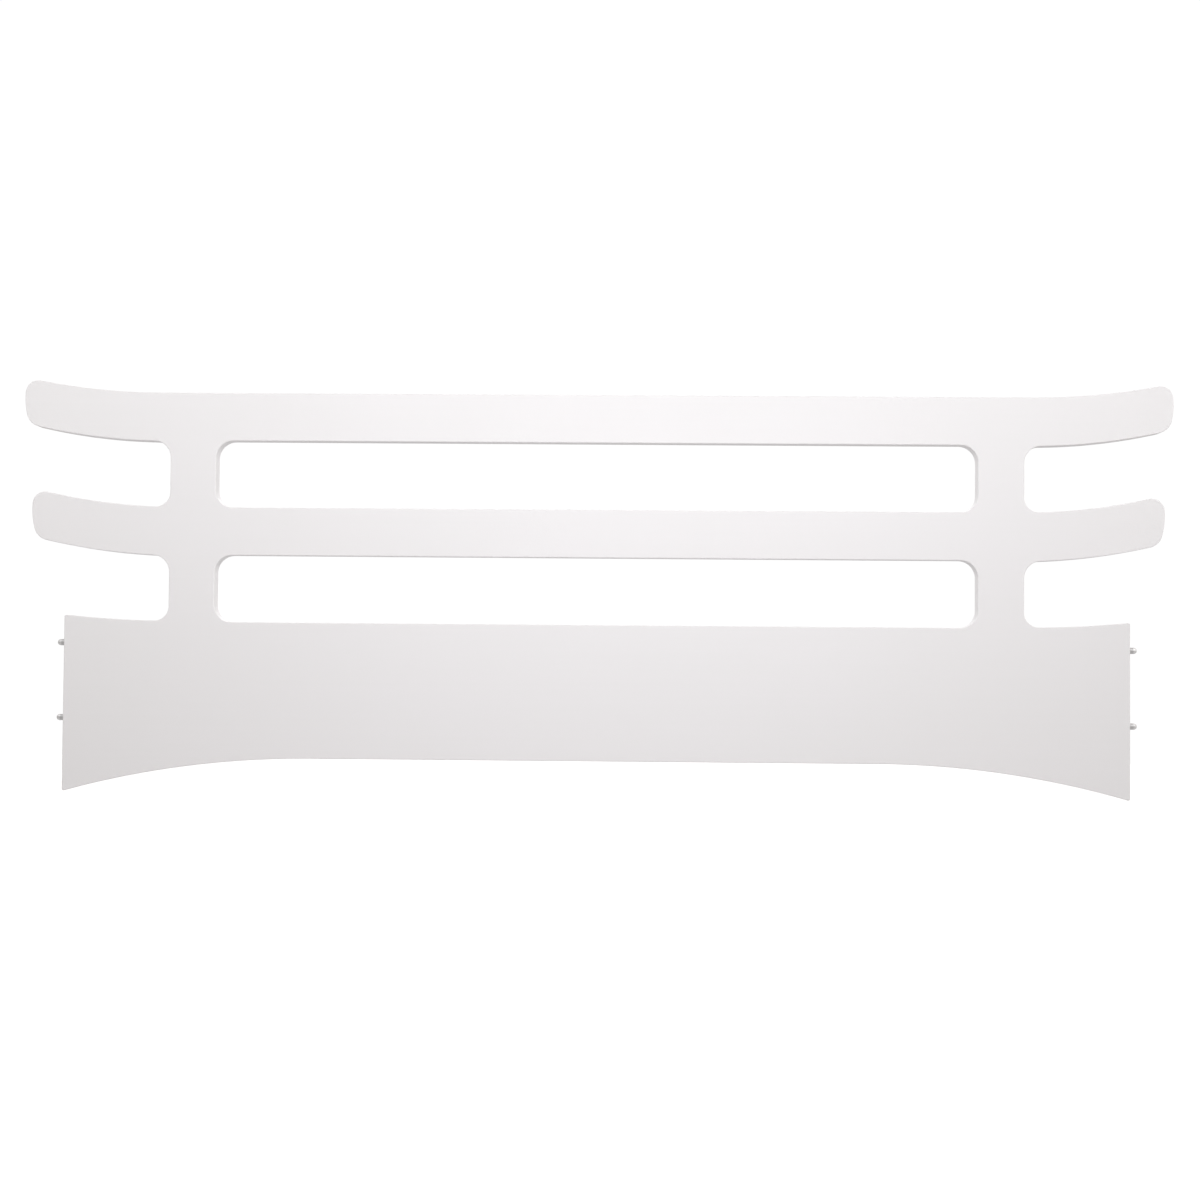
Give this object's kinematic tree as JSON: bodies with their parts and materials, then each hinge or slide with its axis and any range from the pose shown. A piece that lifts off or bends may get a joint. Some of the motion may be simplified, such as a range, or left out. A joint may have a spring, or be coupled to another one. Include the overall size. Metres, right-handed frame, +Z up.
{
  "type": "bed guard rail",
  "caption": "White-lacquered wooden guard rail for a child's bed: a solid lower panel, open rails with upturned free tips, and sprung round-nosed pins in the end faces.",
  "frame": {"origin": "under the middle of the guard, level with its two lowest corners", "axes": "+Z up, +X along the guard to the right as seen from the front, -Y out of the front face"},
  "size_m": [1.2674, 0.018, 0.454],
  "materials": {
    "white_lacquer": "satin white lacquer over a smooth wooden board",
    "plated_steel": "bright nickel plate",
    "spring_steel": "drawn spring wire"
  },
  "bodies": {
    "guard": {"guard_panel": "white_lacquer", "left_upper_sleeve": "plated_steel", "left_upper_sleeve_plug": "plated_steel", "left_upper_spring": "spring_steel", "left_lower_sleeve": "plated_steel", "left_lower_sleeve_plug": "plated_steel", "left_lower_spring": "spring_steel", "right_upper_sleeve": "plated_steel", "right_upper_sleeve_plug": "plated_steel", "right_upper_spring": "spring_steel", "right_lower_sleeve": "plated_steel", "right_lower_sleeve_plug": "plated_steel", "right_lower_spring": "spring_steel"},
    "left_upper_pin": {"left_upper_plunger": "plated_steel"},
    "left_lower_pin": {"left_lower_plunger": "plated_steel"},
    "right_upper_pin": {"right_upper_plunger": "plated_steel"},
    "right_lower_pin": {"right_lower_plunger": "plated_steel"}
  },
  "joints": [
    {"name": "left_upper_pin_slide", "type": "slide", "parent": "guard", "child": "left_upper_pin", "axis": [-1, 0, 0], "range_m": [-0.009, 0], "stiffness_N_per_m": 800, "springref_m": 0.006, "deforming": ["left_upper_spring"]},
    {"name": "left_lower_pin_slide", "type": "slide", "parent": "guard", "child": "left_lower_pin", "axis": [-1, 0, 0], "range_m": [-0.009, 0], "stiffness_N_per_m": 800, "springref_m": 0.006, "deforming": ["left_lower_spring"]},
    {"name": "right_upper_pin_slide", "type": "slide", "parent": "guard", "child": "right_upper_pin", "axis": [1, 0, 0], "range_m": [-0.009, 0], "stiffness_N_per_m": 800, "springref_m": 0.006, "deforming": ["right_upper_spring"]},
    {"name": "right_lower_pin_slide", "type": "slide", "parent": "guard", "child": "right_lower_pin", "axis": [1, 0, 0], "range_m": [-0.009, 0], "stiffness_N_per_m": 800, "springref_m": 0.006, "deforming": ["right_lower_spring"]}
  ]
}
